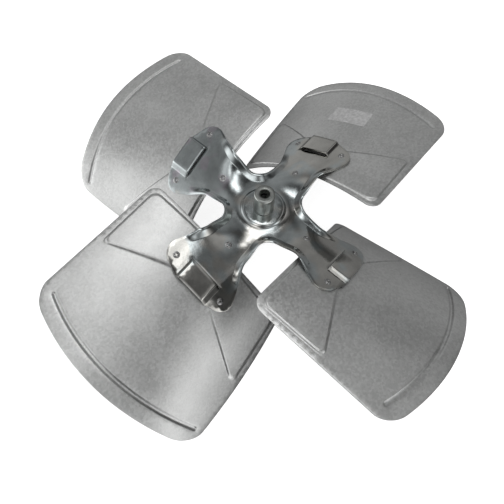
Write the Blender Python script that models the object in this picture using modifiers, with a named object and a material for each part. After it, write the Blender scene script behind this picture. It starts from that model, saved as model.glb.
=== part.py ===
"""Axial fan blade with four wings, 22 inches across.

A stamped four-armed spider is staked to a turned hub, and a thin pitched blade is riveted under each arm.
Metres, +Z up along the shaft towards the hub's nose. The four low blade corners touch z = 0.

Each wing is drawn in its own frame: x runs outwards along the wing's middle, y runs counter-clockwise
across it, and heights count from the blade's middle.
"""
import math

import bmesh
import bpy
from mathutils import Matrix, Vector
from mathutils.geometry import delaunay_2d_cdt

# Whole rotor
WINGS = 4
FAN_RADIUS = 0.2794
GAP = 0.0004

# Blade: sheet, plan shape, pitch and camber
BLADE_SHEET = 0.0012
BLADE_ROOT_X = 0.0760
BLADE_MID_X = 0.1680
HIGH_EDGE_Y = -0.1130
HIGH_EDGE_SPLAY = -0.024
LOW_EDGE_Y = 0.1050
LOW_EDGE_SPLAY = 0.104
LOW_EDGE_BOW = 0.45
ROOT_EDGE_BOW_HIGH = 0.25
ROOT_EDGE_BOW_LOW = 0.85
TIP_CORNER = 0.021
ROOT_CORNER = 0.016
PITCH_ROOT = 0.558
PITCH_TIP = 0.339
CAMBER_SPAN = 0.100
CAMBER_ROOT = 0.0306
CAMBER_TIP = 0.0169
CAMBER_REFLEX = 0.0055
DROOP = 0.024

# Blade: groove inside the tip, raised root panel, and the tongue under the arm
GROOVE_RADIUS = 0.2602
GROOVE_WIDTH = 0.0064
GROOVE_DEPTH = 0.0020
GROOVE_HIGH_Y = -0.1015
GROOVE_LOW_Y = 0.1040
PANEL_RISE = 0.0025
PANEL_WALL = 0.0026
PANEL_ROOT_X = 0.0810
PANEL_HIGH_Y = -0.1032
PANEL_HIGH_X = 0.1655
PANEL_LOW_Y = (0.0885, 0.1005)
PANEL_LOW_X = 0.1750
PANEL_POINT = (0.1190, 0.0020)
PANEL_CORNER = 0.010
PANEL_POINT_WALL = 0.0056
PANEL_MOUTH = 0.0235
TONGUE_LENGTH = 0.0200
TONGUE_HALF_WIDTH = 0.0170

# Spider: sheet, arms, pads and cutouts
SPIDER_SHEET = 0.0026
SPIDER_CENTRE_Z = 0.0040
TWIST_START_X = 0.030
TWIST_END_X = 0.084
TWIST_SKEW = 0.25
TWIST_SKEW_FADE = (0.045, 0.075)
TWIST_SPREAD = (0.40, 1.00)
TWIST_SPREAD_FADE = (0.045, 0.068)
PAD_TIP_X = 0.1376
PAD_HIGH_EAR = (0.1245, -0.0512)
PAD_LOW_EAR = (0.1265, 0.0535)
PAD_EAR_RADIUS = 0.018
NECK_HALF_WIDTH = 0.029
NECK_END_X = 0.0725
NECK_RADIUS = 0.022
CUTOUT_RADIUS = 0.0180
SPIDER_HOLE_RADIUS = 0.0098
BOSS_RISE = 0.0040
BOSS_TOP_RADIUS = 0.0250
BOSS_FOOT_RADIUS = 0.0280
BOSS_FOOT_RISE = 0.0012
BOSS_APRON_RADIUS = 0.0345

# Spider: turned-up lip round each cutout
LIP_BEND_RADIUS = 0.0120
LIP_ANGLE = math.radians(26.0)
LIP_STRAIGHT = 0.0075
LIP_BEND_STEPS = 3
LIP_FULL_X = 0.075
LIP_END_X = 0.098

# Spider: raised bridge at the tip of each pad, sheared from the pad along its inner side
BRIDGE_X = 0.1112
BRIDGE_Y = (-0.0165, 0.0255)
BRIDGE_RISE = 0.0055
BRIDGE_SLOPE = 0.0045
BRIDGE_SLOT = 0.0016

# Rivets through pad and blade
RIVET_PLACES = ((0.1200, -0.0318), (0.1210, 0.0350), (0.0670, 0.0010))
RIVET_HEAD_RADIUS = 0.0029
RIVET_HEAD_HEIGHT = 0.0014
RIVET_SHANK_RADIUS = 0.0020

# Hub
HUB_RADIUS = 0.0127
HUB_HEIGHT = 0.03175
BORE_RADIUS = 0.00635
SPIGOT_RADIUS = 0.0095
STAKE_RADIUS = 0.0120
STAKE_THICKNESS = 0.0026
HUB_CHAMFER = 0.0016
BORE_CHAMFER = 0.0006
SET_SCREW_RADIUS = 0.0038
SET_SCREW_AZIMUTH = math.radians(45.0)
SET_SCREW_ABOVE_BOSS = 0.0180
SET_SCREW_SOCKET = 0.0020
SET_SCREW_SOCKET_DEPTH = 0.0030

# How finely the sheets are cut into facets
OUTLINE_STEP = 0.010
TWIST_LATTICE = 0.007
FINE_LATTICE = 0.010
COARSE_LATTICE = 0.018
LATTICE_CLEARANCE = 0.45
TWIST_ZONE_X = 0.090
PAD_ZONE_X = 0.150
PAD_ZONE_Y = 0.055
ROUND_STEPS = 40
RIVET_STEPS = 12

STACK = SPIDER_SHEET / 2 + GAP + BLADE_SHEET / 2


# Small helpers

def mix(a, b, t):
    """Blend from a to b as t runs from 0 to 1."""
    return a + (b - a) * t


def smooth(t):
    """Ease from 0 to 1 with level ends."""
    t = min(1.0, max(0.0, t))
    return t * t * (3.0 - 2.0 * t)


def wing_turn(wing):
    """Plan rotation from the first wing's frame to another wing's."""
    return Matrix.Rotation(wing * 2 * math.pi / WINGS, 2)


def inside(point, loop):
    """Say whether a plan point lies inside a closed loop."""
    x, y = point
    hit = False
    for (ax, ay), (bx, by) in zip(loop, loop[1:] + loop[:1]):
        if (ay > y) != (by > y) and x < (bx - ax) * (y - ay) / (by - ay) + ax:
            hit = not hit
    return hit


def distance_to_lines(point, lines):
    """Give the shortest distance from a plan point to a set of polylines."""
    best = 1.0
    p = Vector(point)
    for line in lines:
        for start, end in zip(line, line[1:]):
            a = Vector(start)
            along = Vector(end) - a
            t = min(1.0, max(0.0, (p - a).dot(along) / max(along.length_squared, 1e-12)))
            best = min(best, (p - a - along * t).length)
    return best


def divide(points, step, closed):
    """Add points so that no stretch of a polyline is longer than step."""
    ends = points[1:] + points[:1] if closed else points[1:]
    out = []
    for (ax, ay), (bx, by) in zip(points, ends):
        count = max(1, math.ceil(math.hypot(bx - ax, by - ay) / step))
        out += [(mix(ax, bx, i / count), mix(ay, by, i / count)) for i in range(count)]
    return out if closed else out + [points[-1]]


def rounded(corners, closed, arc_step=math.radians(22.0)):
    """Round the corners of a polyline given as (x, y, radius)."""
    out = []
    count = len(corners)
    for i, (x, y, radius) in enumerate(corners):
        if radius == 0.0 or (not closed and i in (0, count - 1)):
            out.append((x, y))
            continue
        here = Vector((x, y))
        before = (Vector(corners[i - 1][:2]) - here).normalized()
        after = (Vector(corners[(i + 1) % count][:2]) - here).normalized()
        half = before.angle(after) / 2
        reach = radius / math.tan(half)
        middle = here + (before + after).normalized() * (radius / math.sin(half))
        start = here + before * reach - middle
        turn = math.pi - 2 * half
        sign = 1.0 if before.cross(after) < 0.0 else -1.0
        steps = max(2, math.ceil(turn / arc_step))
        for k in range(steps + 1):
            ray = Matrix.Rotation(sign * turn * k / steps, 2) @ start
            out.append(tuple(middle + ray))
    return out


def lathe_profile(name, profile, steps, material, collection, closed_loop):
    """Turn a profile of (radius, z) about +Z with a Screw modifier."""
    mesh = bpy.data.meshes.new(name)
    edges = [(i, i + 1) for i in range(len(profile) - 1)]
    if closed_loop:
        edges.append((len(profile) - 1, 0))
    mesh.from_pydata([(r, 0.0, z) for r, z in profile], edges, [])
    piece = bpy.data.objects.new(name, mesh)
    mesh.materials.append(material)
    collection.objects.link(piece)
    screw = piece.modifiers.new("Turned", "SCREW")
    screw.steps = steps
    screw.render_steps = steps
    screw.use_merge_vertices = True
    screw.merge_threshold = 0.00005
    screw.use_smooth_shade = True
    return piece


def plain_material(name, colour, metallic, roughness):
    """Make a Principled material."""
    material = bpy.data.materials.new(name)
    material.use_nodes = True
    shader = material.node_tree.nodes["Principled BSDF"]
    shader.inputs["Base Color"].default_value = (*colour, 1.0)
    shader.inputs["Metallic"].default_value = metallic
    shader.inputs["Roughness"].default_value = roughness
    return material


# Heights of the formed sheets, in a wing's own frame

def blade_form(x, y):
    """Height of the pitched and cambered blade, without its pressed features."""
    t = (x - BLADE_ROOT_X) / (FAN_RADIUS - BLADE_ROOT_X)
    across = y / CAMBER_SPAN
    pitch = mix(PITCH_ROOT, PITCH_TIP, t)
    camber = mix(CAMBER_ROOT, CAMBER_TIP, t)
    return -pitch * y - camber * across ** 2 - CAMBER_REFLEX * across ** 3 - DROOP * (x - BLADE_MID_X)


def lean(form, x, y):
    """Vertical thickness of a unit of sheet on a sloping form."""
    step = 0.0005
    slope_x = (form(x + step, y) - form(x - step, y)) / (2 * step)
    slope_y = (form(x, y + step) - form(x, y - step)) / (2 * step)
    return math.sqrt(1.0 + slope_x ** 2 + slope_y ** 2)


def ramp(value, span):
    """Ease from 0 to 1 as a value crosses a span."""
    return smooth((value - span[0]) / (span[1] - span[0]))


def twist_share(x, y):
    """How far an arm has turned to the blade's pitch: sooner on its low side, not at all between two arms."""
    ahead = TWIST_SKEW * y * (1.0 - ramp(x, TWIST_SKEW_FADE))
    beside = 1.0 - ramp(abs(y) / max(x, GAP), TWIST_SPREAD)
    return ramp(x + ahead, (TWIST_START_X, TWIST_END_X)) * mix(beside, 1.0, ramp(x, TWIST_SPREAD_FADE))


def arm_form(x, y):
    """Height of the spider's sheet: level at the centre, twisted to the blade's pitch at the pad."""
    seated = blade_form(x, y) + PANEL_RISE + STACK * lean(blade_form, x, y)
    return mix(SPIDER_CENTRE_Z, seated, twist_share(x, y))


def panel_form(x, y):
    """Height of the blade's raised panel, which lies against the underside of the arm."""
    return arm_form(x, y) - STACK * lean(arm_form, x, y)


def surface_frame(form, x, y):
    """Placement with its origin on a form and +Z along the form's normal."""
    step = 0.0005
    slope_x = (form(x + step, y) - form(x - step, y)) / (2 * step)
    slope_y = (form(x, y + step) - form(x, y - step)) / (2 * step)
    normal = Vector((-slope_x, -slope_y, 1.0)).normalized()
    turn = normal.to_track_quat("Z", "X").to_matrix().to_4x4()
    return Matrix.Translation((x, y, form(x, y))) @ turn


def rivet_hole(x, y, depth):
    """Plan points of a rivet's hole, at a depth below the middle of the arm's sheet."""
    place = surface_frame(arm_form, x, y)
    radius = RIVET_SHANK_RADIUS + GAP
    angles = [2 * math.pi * i / RIVET_STEPS for i in range(RIVET_STEPS)]
    ring = [place @ Vector((radius * math.cos(a), radius * math.sin(a), -depth)) for a in angles]
    return [(p.x, p.y) for p in ring]


# Flat patterns

class Pattern:
    """A flat pattern of points and lines, cut into triangles and raised into a formed sheet."""

    def __init__(self):
        self.points = []
        self.data = []
        self.lines = []
        self.holes = []
        self.edges = []

    def add_line(self, line, data, closed):
        """Add a polyline whose points each carry the given feature data."""
        first = len(self.points)
        self.points += line
        self.data += data if isinstance(data, list) else [data] * len(line)
        last = len(self.points) - 1
        self.edges += [(i, i + 1) for i in range(first, last)]
        if closed:
            self.edges.append((last, first))
        self.lines.append(line + line[:1] if closed else line)

    def add_hole(self, loop, data):
        """Add a closed loop that is cut out of the sheet."""
        self.add_line(loop, data, True)
        self.holes.append(loop)

    def add_lattice(self, outline, spacing, region, data_at, wings=1):
        """Fill the outline with staggered points that keep clear of the lines, alike in each wing."""
        rows = int(FAN_RADIUS / spacing)
        for i in range(rows):
            for j in range(-rows, rows):
                wing_spot = ((i + 0.5) * spacing, (j + 0.5 * (i % 2)) * spacing)
                if not region(*wing_spot):
                    continue
                for wing in range(wings):
                    spot = tuple(wing_turn(wing) @ Vector(wing_spot))
                    if not inside(spot, outline) or any(inside(spot, hole) for hole in self.holes):
                        continue
                    if distance_to_lines(spot, self.lines) < LATTICE_CLEARANCE * spacing:
                        continue
                    self.points.append(spot)
                    self.data.append(data_at(*spot))

    def sheet(self, name, height, thickness, material, collection):
        """Make the formed sheet as an open surface with a Solidify modifier."""
        flat = [Vector(p) for p in self.points]
        spots, _, faces, sources, _, _ = delaunay_2d_cdt(flat, self.edges, [], 1, 1e-7)
        kept = []
        for face in faces:
            middle = sum((spots[i] for i in face), Vector((0.0, 0.0))) / len(face)
            if not any(inside(middle, hole) for hole in self.holes):
                kept.append(face)
        verts = []
        for spot, source in zip(spots, sources):
            verts.append((spot.x, spot.y, height(spot.x, spot.y, self.data[source[0]])))
        mesh = bpy.data.meshes.new(name)
        mesh.from_pydata(verts, [], kept)
        mesh.materials.append(material)
        work = bmesh.new()
        work.from_mesh(mesh)
        bmesh.ops.delete(work, geom=[v for v in work.verts if not v.link_faces], context="VERTS")
        work.to_mesh(mesh)
        work.free()
        mesh.shade_smooth()
        mesh.set_sharp_from_angle(angle=math.radians(30.0))
        piece = bpy.data.objects.new(name, mesh)
        collection.objects.link(piece)
        shell = piece.modifiers.new("Sheet", "SOLIDIFY")
        shell.thickness = thickness
        shell.offset = 0.0
        shell.use_even_offset = False
        return piece


# Blade

def blade_plan(s, c):
    """Plan point of a blank point: s out from the root edge, c from -1 at the high edge to 1 at the low."""
    out = BLADE_ROOT_X + s - BLADE_MID_X
    high = HIGH_EDGE_Y + HIGH_EDGE_SPLAY * out
    low = LOW_EDGE_Y + LOW_EDGE_SPLAY * out - LOW_EDGE_BOW * out ** 2
    y = mix(high, low, (c + 1.0) / 2.0)
    root = BLADE_ROOT_X - (ROOT_EDGE_BOW_LOW if y > 0.0 else ROOT_EDGE_BOW_HIGH) * y ** 2
    tip = math.sqrt(FAN_RADIUS ** 2 - y ** 2)
    return (mix(root, tip, s / (FAN_RADIUS - BLADE_ROOT_X)), y)


def blank_to_plan(points):
    """Carry blank points, in metres across a nominal half chord, to the plan."""
    return [blade_plan(s, w / HALF_CHORD) for s, w in points]


HALF_CHORD = (LOW_EDGE_Y - HIGH_EDGE_Y) / 2
BLANK_SPAN = FAN_RADIUS - BLADE_ROOT_X
BLANK_MIDDLE = (LOW_EDGE_Y + HIGH_EDGE_Y) / 2


def blank_y(y):
    """Blank position across the chord of a plan y near the root."""
    return y - BLANK_MIDDLE


def blade_outline():
    """The blade's outline: four rounded corners, and the tongue under the arm."""
    left = blank_y(-TONGUE_HALF_WIDTH)
    right = blank_y(TONGUE_HALF_WIDTH)
    fillet = 0.004
    corners = [
        (0.0, -HALF_CHORD, ROOT_CORNER),
        (BLANK_SPAN, -HALF_CHORD, TIP_CORNER),
        (BLANK_SPAN, HALF_CHORD, TIP_CORNER),
        (0.0, HALF_CHORD, ROOT_CORNER),
        (0.0, right, fillet),
        (-TONGUE_LENGTH, right, 2 * fillet),
        (-TONGUE_LENGTH, left, 2 * fillet),
        (0.0, left, fillet),
    ]
    return blank_to_plan(divide(rounded(corners, True), OUTLINE_STEP, True))


def panel_line(side, outline_x):
    """One edge of the raised panel's wall, from the root edge round the panel and back.

    side is -1 at the wall's foot and 1 at its top.
    """
    wall = side * PANEL_WALL / 2
    point_x, point_y = PANEL_POINT
    low_root, low_tip = PANEL_LOW_Y
    corner = PANEL_CORNER
    corners = [
        (outline_x, wall - PANEL_MOUTH, 0.0),
        (PANEL_ROOT_X + wall, wall - PANEL_MOUTH, corner / 4),
        (PANEL_ROOT_X + wall, PANEL_HIGH_Y + wall, corner),
        (PANEL_HIGH_X - 1.6 * wall, PANEL_HIGH_Y + wall, corner / 2),
        (point_x - side * PANEL_POINT_WALL / 2, point_y, 2 * corner),
        (PANEL_LOW_X - 1.6 * wall, low_tip - wall, corner / 2),
        (PANEL_ROOT_X + wall, low_root - wall, corner),
        (PANEL_ROOT_X + wall, PANEL_MOUTH - wall, corner / 4),
        (outline_x, PANEL_MOUTH - wall, 0.0),
    ]
    return divide(rounded(corners, False), OUTLINE_STEP, False)


def groove_arc(radius, high_y, low_y):
    """Plan points of an arc about the shaft between two wing positions."""
    start = math.asin(high_y / radius)
    end = math.asin(low_y / radius)
    count = math.ceil(radius * (end - start) / OUTLINE_STEP)
    angles = [mix(start, end, i / count) for i in range(count + 1)]
    return [(radius * math.cos(a), radius * math.sin(a)) for a in angles]


def blade_height(x, y, data):
    """Height of a blade point: its form, the raised panel and the tip groove."""
    panel, groove = data
    form = blade_form(x, y)
    if panel:
        form = mix(form, panel_form(x, y), panel)
    return form + groove * lean(blade_form, x, y)


def make_blade(name, material, collection):
    """Make one blade in a wing's frame."""
    pattern = Pattern()
    outline = blade_outline()
    foot = panel_line(-1, BLADE_ROOT_X)
    top = panel_line(1, BLADE_ROOT_X)
    mouth = PANEL_MOUTH
    edge = [(1.0 if abs(y) < mouth and x < BLADE_MID_X else 0.0, 0.0) for x, y in outline]
    pattern.add_line(outline, edge, True)
    pattern.add_line(foot[1:-1], (0.0, 0.0), False)
    pattern.add_line(top[1:-1], (1.0, 0.0), False)
    for x, y in RIVET_PLACES:
        pattern.add_hole(rivet_hole(x, y, STACK), (1.0, 0.0))

    half = GROOVE_WIDTH / 2
    inner = groove_arc(GROOVE_RADIUS - half, GROOVE_HIGH_Y + half, GROOVE_LOW_Y - half)
    outer = groove_arc(GROOVE_RADIUS + half, GROOVE_HIGH_Y + half, GROOVE_LOW_Y - half)
    high_end = groove_arc(GROOVE_RADIUS, GROOVE_HIGH_Y, 0.0)[:1]
    low_end = groove_arc(GROOVE_RADIUS, 0.0, GROOVE_LOW_Y)[-1:]
    bed = groove_arc(GROOVE_RADIUS, GROOVE_HIGH_Y + half, GROOVE_LOW_Y - half)
    pattern.add_line(high_end + inner + low_end + outer[::-1], (0.0, 0.0), True)
    pattern.add_line(bed, (0.0, -GROOVE_DEPTH), False)

    def feature(x, y):
        raised = inside((x, y), top) or (abs(y) < mouth and x < PANEL_ROOT_X)
        return (1.0 if raised else 0.0, 0.0)

    def zone(x, y):
        if abs(y) < NECK_HALF_WIDTH and x < TWIST_ZONE_X:
            return TWIST_LATTICE
        return FINE_LATTICE if x < PAD_ZONE_X and abs(y) < PAD_ZONE_Y else COARSE_LATTICE

    for spacing in (TWIST_LATTICE, FINE_LATTICE, COARSE_LATTICE):
        pattern.add_lattice(outline, spacing, lambda x, y, spacing=spacing: zone(x, y) == spacing, feature)
    return pattern.sheet(name, blade_height, BLADE_SHEET, material, collection)


# Spider

def to_arm(x, y):
    """Give a rotor plan point in the frame of its nearest arm."""
    arm = round(math.atan2(y, x) / (2 * math.pi / WINGS))
    turned = wing_turn(-arm) @ Vector((x, y))
    return turned.x, turned.y


def spider_outline():
    """The spider's plan outline, from four like arms."""
    corners = []
    arm_corners = [
        (NECK_END_X, -NECK_HALF_WIDTH, NECK_RADIUS),
        (*PAD_HIGH_EAR, PAD_EAR_RADIUS),
        *[(PAD_TIP_X, y, 0.0) for y in bridge_stations()],
        (*PAD_LOW_EAR, PAD_EAR_RADIUS),
        (NECK_END_X, NECK_HALF_WIDTH, NECK_RADIUS),
        (NECK_HALF_WIDTH, NECK_HALF_WIDTH, CUTOUT_RADIUS),
    ]
    for arm in range(WINGS):
        for x, y, radius in arm_corners:
            spot = wing_turn(arm) @ Vector((x, y))
            corners.append((spot.x, spot.y, radius))
    return divide(rounded(corners, True, math.radians(18.0)), OUTLINE_STEP, True)


def lip_profile():
    """Rows of the turned-up lip, as (distance in from the edge, height)."""
    rows = []
    for i in range(LIP_BEND_STEPS + 1):
        angle = LIP_ANGLE * i / LIP_BEND_STEPS
        rows.append((LIP_BEND_RADIUS * math.sin(angle), LIP_BEND_RADIUS * (1.0 - math.cos(angle))))
    out, up = rows[-1]
    for share in (0.5, 1.0):
        rows.append((out + share * LIP_STRAIGHT * math.cos(LIP_ANGLE),
                     up + share * LIP_STRAIGHT * math.sin(LIP_ANGLE)))
    edge = rows[-1][0]
    return [(edge - out, up) for out, up in rows]


def lip_share(x, y):
    """How far the lip is turned up at an outline point: whole round the cutout, fading on to the pad."""
    arm_x, arm_y = to_arm(x, y)
    if arm_x > LIP_END_X or abs(arm_y) < NECK_HALF_WIDTH * 0.9:
        return 0.0
    return 1.0 - smooth((arm_x - LIP_FULL_X) / (LIP_END_X - LIP_FULL_X))


def bridge_stations():
    """Positions across the pad of a bridge's bend lines and of two lines between them."""
    low, high = BRIDGE_Y
    return [low, low + BRIDGE_SLOPE, mix(low, high, 0.35), mix(low, high, 0.65), high - BRIDGE_SLOPE, high]


def bridge_rise(y):
    """Height of a bridge above its pad, across the pad."""
    low, high = BRIDGE_Y
    return BRIDGE_RISE * min(1.0, max(0.0, (y - low) / BRIDGE_SLOPE), max(0.0, (high - y) / BRIDGE_SLOPE))


def spider_height(x, y, data):
    """Height of a spider point: its form plus the feature's own rise, square to the sheet."""
    arm_x, arm_y = to_arm(x, y)
    return arm_form(arm_x, arm_y) + data * lean(arm_form, arm_x, arm_y)


def add_lip_rows(pattern, outline):
    """Add the outline and, inside it, the rows of the turned-up lips."""
    rows = lip_profile()
    shares = [lip_share(x, y) for x, y in outline]
    edge_rise = rows[-1][1]
    rises = []
    for (x, y), share in zip(outline, shares):
        arm_x, arm_y = to_arm(x, y)
        rises.append(bridge_rise(arm_y) if arm_x > PAD_TIP_X - GAP else edge_rise * share)
    pattern.add_line(outline, rises, True)
    count = len(outline)
    runs = []
    for i in range(count):
        if shares[i] > 0.0 and shares[i - 1] == 0.0:
            run = []
            while shares[i % count] > 0.0:
                run.append(i % count)
                i += 1
            runs.append(run)
    for run in runs:
        for inset, rise in rows[:-1]:
            line = []
            data = []
            for i in run:
                before = Vector(outline[i - 1])
                after = Vector(outline[(i + 1) % count])
                along = (after - before).normalized()
                inward = Vector((-along.y, along.x))
                line.append(tuple(Vector(outline[i]) + inward * inset))
                data.append(rise * shares[i])
            pattern.add_line(line, data, False)


def add_bridge(pattern, turn):
    """Add the slot along a bridge's inner side, and the lines across the bridge."""
    def turned(points):
        return [tuple(turn @ Vector(p)) for p in points]

    stations = bridge_stations()
    rises = [bridge_rise(y) for y in stations]
    strap = [(BRIDGE_X, y) for y in stations]
    pad = [(BRIDGE_X - BRIDGE_SLOT, y) for y in reversed(stations)]
    pattern.add_hole(turned(strap + pad), rises + [0.0] * len(stations))
    across = [mix(BRIDGE_X, PAD_TIP_X, t) for t in (0.25, 0.5, 0.75)]
    for y, rise in zip(stations, rises):
        pattern.add_line(turned([(x, y) for x in across]), rise, False)


def make_spider(name, material, collection):
    """Make the spider in the rotor's frame."""
    pattern = Pattern()
    outline = spider_outline()
    add_lip_rows(pattern, outline)

    def circle(radius, sides):
        return [(radius * math.cos(2 * math.pi * i / sides), radius * math.sin(2 * math.pi * i / sides))
                for i in range(sides)]

    pattern.add_hole(circle(SPIDER_HOLE_RADIUS, ROUND_STEPS), BOSS_RISE)
    middle = mix(BOSS_FOOT_RADIUS, BOSS_APRON_RADIUS, 0.5)
    pattern.add_line(circle(BOSS_TOP_RADIUS, ROUND_STEPS), BOSS_RISE, True)
    pattern.add_line(circle(BOSS_FOOT_RADIUS, ROUND_STEPS), BOSS_FOOT_RISE, True)
    pattern.add_line(circle(middle, ROUND_STEPS), BOSS_FOOT_RISE * 0.35, True)
    pattern.add_line(circle(BOSS_APRON_RADIUS, ROUND_STEPS), 0.0, True)

    for arm in range(WINGS):
        add_bridge(pattern, wing_turn(arm))
        for x, y in RIVET_PLACES:
            pattern.add_hole([tuple(wing_turn(arm) @ Vector(p)) for p in rivet_hole(x, y, 0.0)], 0.0)

    def feature(x, y):
        return BOSS_RISE if math.hypot(x, y) < BOSS_TOP_RADIUS else 0.0

    def on_pad(x, y):
        on_bridge = x >= BRIDGE_X and BRIDGE_Y[0] <= y <= BRIDGE_Y[1]
        return x >= TWIST_ZONE_X and not on_bridge

    pattern.add_lattice(outline, TWIST_LATTICE, lambda x, y: abs(y) < x < TWIST_ZONE_X, feature, WINGS)
    pattern.add_lattice(outline, FINE_LATTICE, on_pad, feature, WINGS)
    return pattern.sheet(name, spider_height, SPIDER_SHEET, material, collection)


# Rivets, hub and set screw

def make_rivet(name, place, material, collection):
    """Make a rivet whose shank passes through the arm and the blade."""
    top = SPIDER_SHEET / 2 + GAP
    bottom = -SPIDER_SHEET / 2 - 2.5 * GAP - BLADE_SHEET
    head = RIVET_HEAD_RADIUS
    dome = RIVET_HEAD_HEIGHT
    profile = [
        (0.0, top + dome),
        (head * 0.55, top + dome * 0.86),
        (head * 0.9, top + dome * 0.45),
        (head, top),
        (RIVET_SHANK_RADIUS, top),
        (RIVET_SHANK_RADIUS, bottom),
        (head, bottom),
        (head * 0.8, bottom - dome * 0.6),
        (0.0, bottom - dome * 0.75),
    ]
    piece = lathe_profile(name, profile, RIVET_STEPS, material, collection, False)
    piece.matrix_local = place
    return piece


def make_hub(name, material, collection, cutters):
    """Make the turned hub: a plain barrel on the boss, a spigot through it, and the staked collar."""
    seat = SPIDER_CENTRE_Z + BOSS_RISE + SPIDER_SHEET / 2 + GAP
    below = SPIDER_CENTRE_Z + BOSS_RISE - SPIDER_SHEET / 2 - GAP
    top = seat + HUB_HEIGHT
    bottom = below - STAKE_THICKNESS
    profile = [
        (BORE_RADIUS + BORE_CHAMFER, top),
        (HUB_RADIUS - HUB_CHAMFER, top),
        (HUB_RADIUS, top - HUB_CHAMFER),
        (HUB_RADIUS, seat),
        (SPIGOT_RADIUS, seat),
        (SPIGOT_RADIUS, below),
        (STAKE_RADIUS, below),
        (STAKE_RADIUS - STAKE_THICKNESS / 2, bottom),
        (BORE_RADIUS + BORE_CHAMFER, bottom),
        (BORE_RADIUS, bottom + BORE_CHAMFER),
        (BORE_RADIUS, top - BORE_CHAMFER),
    ]
    hub = lathe_profile(name, profile, ROUND_STEPS, material, collection, True)
    height = seat + SET_SCREW_ABOVE_BOSS
    cutter = cylinder("set_screw_hole", SET_SCREW_RADIUS + GAP, HUB_RADIUS * 1.5, 24, material, cutters)
    cutter.matrix_local = screw_place(height, HUB_RADIUS * 0.75)
    cutter.hide_render = True
    cutter.display_type = "WIRE"
    cut = hub.modifiers.new("Set screw hole", "BOOLEAN")
    cut.operation = "DIFFERENCE"
    cut.object = cutter
    return hub, cutter, height


def cylinder(name, radius, length, sides, material, collection):
    """Make a closed cylinder about its own +Z, centred on its origin."""
    mesh = bpy.data.meshes.new(name)
    work = bmesh.new()
    bmesh.ops.create_cone(work, cap_ends=True, segments=sides, radius1=radius, radius2=radius, depth=length)
    work.to_mesh(mesh)
    work.free()
    mesh.materials.append(material)
    piece = bpy.data.objects.new(name, mesh)
    collection.objects.link(piece)
    return piece


def screw_place(height, radius):
    """Placement across the hub's wall, with +Z pointing outwards."""
    outwards = Vector((math.cos(SET_SCREW_AZIMUTH), math.sin(SET_SCREW_AZIMUTH), 0.0))
    turn = outwards.to_track_quat("Z", "X").to_matrix().to_4x4()
    return Matrix.Translation(outwards * radius + Vector((0.0, 0.0, height))) @ turn


def make_set_screw(name, height, material, collection, cutters):
    """Make the socket set screw, flush in the hub's wall."""
    inner = BORE_RADIUS + GAP
    outer = HUB_RADIUS - GAP
    length = outer - inner
    screw = cylinder(name, SET_SCREW_RADIUS, length, 20, material, collection)
    screw.matrix_local = screw_place(height, (inner + outer) / 2)
    socket = cylinder("set_screw_socket", SET_SCREW_SOCKET, 2 * SET_SCREW_SOCKET_DEPTH, 6, material, cutters)
    socket.matrix_local = screw_place(height, outer)
    socket.hide_render = True
    socket.display_type = "WIRE"
    cut = screw.modifiers.new("Hex socket", "BOOLEAN")
    cut.operation = "DIFFERENCE"
    cut.object = socket
    return screw, socket


# The whole rotor

def clear_scene():
    """Remove every object of the scene."""
    for old in list(bpy.data.objects):
        bpy.data.objects.remove(old, do_unlink=True)


def lowest_point(piece):
    """Lowest z of an object's evaluated mesh."""
    bpy.context.view_layer.update()
    shown = piece.evaluated_get(bpy.context.evaluated_depsgraph_get())
    return min((shown.matrix_world @ v.co).z for v in shown.data.vertices)


def main():
    """Build the rotor and stand it on its low blade corners."""
    clear_scene()
    parts = bpy.data.collections.new("fan_blade")
    cutters = bpy.data.collections.new("cutters")
    for collection in (parts, cutters):
        bpy.context.scene.collection.children.link(collection)

    galvanised = plain_material("galvanised_sheet", (0.50, 0.51, 0.51), 0.85, 0.42)
    zinc_plate = plain_material("zinc_plated_steel", (0.36, 0.40, 0.40), 0.95, 0.28)
    turned_steel = plain_material("turned_steel", (0.42, 0.44, 0.42), 0.95, 0.30)
    rivet_steel = plain_material("rivet_steel", (0.45, 0.46, 0.46), 0.95, 0.35)
    black_oxide = plain_material("black_oxide_steel", (0.06, 0.06, 0.065), 0.90, 0.40)

    rotor = bpy.data.objects.new("rotor", None)
    parts.objects.link(rotor)
    wing_frames = []
    for wing in range(WINGS):
        frame = bpy.data.objects.new(f"wing_frame_{wing + 1}", None)
        frame.rotation_euler.z = wing * 2 * math.pi / WINGS
        frame.parent = rotor
        parts.objects.link(frame)
        wing_frames.append(frame)

    blade = make_blade("blade_1", galvanised, parts)
    rivet_places = [surface_frame(arm_form, x, y) for x, y in RIVET_PLACES]
    for wing, frame in enumerate(wing_frames):
        if wing:
            copy = blade.copy()
            copy.data = blade.data.copy()
            copy.name = f"blade_{wing + 1}"
            parts.objects.link(copy)
            copy.parent = frame
        else:
            blade.parent = frame
        for place, spot in zip(rivet_places, ("high", "low", "inner")):
            rivet = make_rivet(f"rivet_{wing + 1}_{spot}", place, rivet_steel, parts)
            rivet.parent = frame

    spider = make_spider("spider", zinc_plate, parts)
    hub, hole, height = make_hub("hub", turned_steel, parts, cutters)
    screw, socket = make_set_screw("set_screw", height, black_oxide, parts, cutters)
    for piece in (spider, hub, hole, screw, socket):
        piece.parent = rotor

    rotor.location.z = -lowest_point(blade)


main()
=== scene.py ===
"""Looks of a four-winged axial fan blade, 22 inches across.

Smooth pressed sheets, a turned hub and clinched rivets take the place of the faceted solids, and each has a
finish of its own.
Metres, +Z up along the shaft. Each wing is drawn in its own frame: x runs out along the wing's middle, y runs
counter-clockwise across it, and heights count from the blade's middle, which ROTOR_Z places.
"""
import logging
from collections.abc import Callable, Sequence
from dataclasses import dataclass
from enum import Enum
from math import asin, ceil, cos, hypot, pi, radians, sin, sqrt, tan

import bmesh
import bpy
import numpy as np
from mathutils import Matrix, Vector
from mathutils.geometry import delaunay_2d_cdt


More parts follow.
